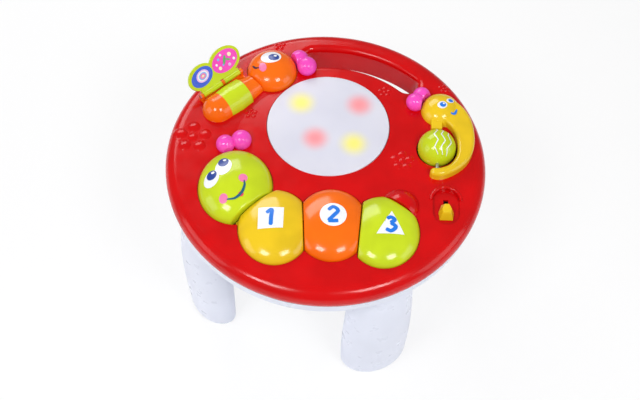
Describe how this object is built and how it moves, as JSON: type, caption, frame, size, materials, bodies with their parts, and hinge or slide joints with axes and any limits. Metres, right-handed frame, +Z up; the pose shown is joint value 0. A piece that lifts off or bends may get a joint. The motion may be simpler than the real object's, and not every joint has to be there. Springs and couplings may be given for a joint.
{
  "type": "musical activity table",
  "caption": "Round low musical activity table for toddlers with press keys, a drum pad, a spinning ball, a wing flap and snap-in legs.",
  "frame": {"origin": "on the floor, centred below the round deck", "axes": "+Z up, the row of keys towards -Y, the spinning ball towards +X"},
  "size_m": [0.33, 0.33, 0.2379],
  "materials": {
    "red_plastic": "gloss",
    "white_plastic": "gloss",
    "yellow_plastic": "gloss",
    "orange_plastic": "gloss",
    "lime_plastic": "gloss",
    "pink_plastic": "gloss",
    "blue_plastic": "gloss",
    "pad_plastic": "translucent",
    "silicone": "matte",
    "board": "satin",
    "black_plastic": "matte",
    "steel": "brushed",
    "nickel_contact": "bright",
    "cell_jacket": "gloss",
    "paper_cone": "matte",
    "red_lamp": "clear",
    "yellow_lamp": "clear"
  },
  "bodies": {
    "housing": {"ball_axle": "steel", "ball_well": "black_plastic", "battery_cells": "cell_jacket", "battery_contacts": "nickel_contact", "battery_door": "white_plastic", "bee_antennae": "pink_plastic", "bee_band": "lime_plastic", "bee_board": "board", "bee_body": "orange_plastic", "bee_dome": "silicone", "board_chips": "black_plastic", "bottom_shell": "white_plastic", "door_screw": "steel", "housing_screws": "steel", "key_board": "board", "key_dome_1": "silicone", "key_dome_2": "silicone", "key_dome_3": "silicone", "lamp_board": "board", "lamp_reflector": "white_plastic", "lamps_red": "red_lamp", "lamps_yellow": "yellow_lamp", "leg_inner_1": "white_plastic", "leg_inner_2": "white_plastic", "leg_inner_3": "white_plastic", "leg_inner_4": "white_plastic", "leg_outer_1": "white_plastic", "leg_outer_2": "white_plastic", "leg_outer_3": "white_plastic", "leg_outer_4": "white_plastic", "leg_screws": "steel", "main_board": "board", "pad_domes": "silicone", "slide_switch": "black_plastic", "snail_antennae": "pink_plastic", "snail_body": "yellow_plastic", "speaker_cone": "paper_cone", "speaker_frame": "steel", "speaker_magnet": "steel", "top_shell": "red_plastic", "wing_pin": "steel", "worm_antennae": "pink_plastic", "worm_board": "board", "worm_dome": "silicone"},
    "key_1_button": {"key_1": "yellow_plastic"},
    "key_2_button": {"key_2": "orange_plastic"},
    "key_3_button": {"key_3": "lime_plastic"},
    "worm_button": {"worm_head": "lime_plastic"},
    "bee_button": {"bee_head": "orange_plastic"},
    "drum": {"drum_pad": "pad_plastic"},
    "ball": {"spin_ball": "lime_plastic"},
    "wing": {"wing_flap": "lime_plastic", "wing_inlay_lower": "blue_plastic", "wing_inlay_upper": "pink_plastic"},
    "knob": {"mode_knob": "yellow_plastic"}
  },
  "joints": [
    {"name": "key_1_press", "type": "slide", "parent": "housing", "child": "key_1_button", "axis": [0, 0, -1], "range_m": [0, 0.003], "stiffness_N_per_m": 400, "springref_m": -0.001, "deforming": ["key_dome_1"]},
    {"name": "key_2_press", "type": "slide", "parent": "housing", "child": "key_2_button", "axis": [0, 0, -1], "range_m": [0, 0.003], "stiffness_N_per_m": 400, "springref_m": -0.001, "deforming": ["key_dome_2"]},
    {"name": "key_3_press", "type": "slide", "parent": "housing", "child": "key_3_button", "axis": [0, 0, -1], "range_m": [0, 0.003], "stiffness_N_per_m": 400, "springref_m": -0.001, "deforming": ["key_dome_3"]},
    {"name": "worm_press", "type": "slide", "parent": "housing", "child": "worm_button", "axis": [0, 0, -1], "range_m": [0, 0.003], "stiffness_N_per_m": 450, "springref_m": -0.001, "deforming": ["worm_dome"]},
    {"name": "bee_press", "type": "slide", "parent": "housing", "child": "bee_button", "axis": [0, 0, -1], "range_m": [0, 0.003], "stiffness_N_per_m": 400, "springref_m": -0.001, "deforming": ["bee_dome"]},
    {"name": "drum_press", "type": "slide", "parent": "housing", "child": "drum", "axis": [0, 0, -1], "range_m": [0, 0.002], "stiffness_N_per_m": 1000, "springref_m": -0.001, "deforming": ["pad_domes"]},
    {"name": "wing_swing", "type": "hinge", "parent": "housing", "child": "wing", "pos_m": [-0.11454, 0.08164, 0.215], "axis": [0.7268, 0.6868, 0], "range_deg": [0, 84]},
    {"name": "ball_spin", "type": "hinge", "parent": "housing", "child": "ball", "pos_m": [0.1135, 0.0125, 0.211], "axis": [0, 1, 0], "continuous": true},
    {"name": "knob_slide", "type": "slide", "parent": "housing", "child": "knob", "axis": [0, 1, 0], "range_m": [0, 0.012]}
  ]
}
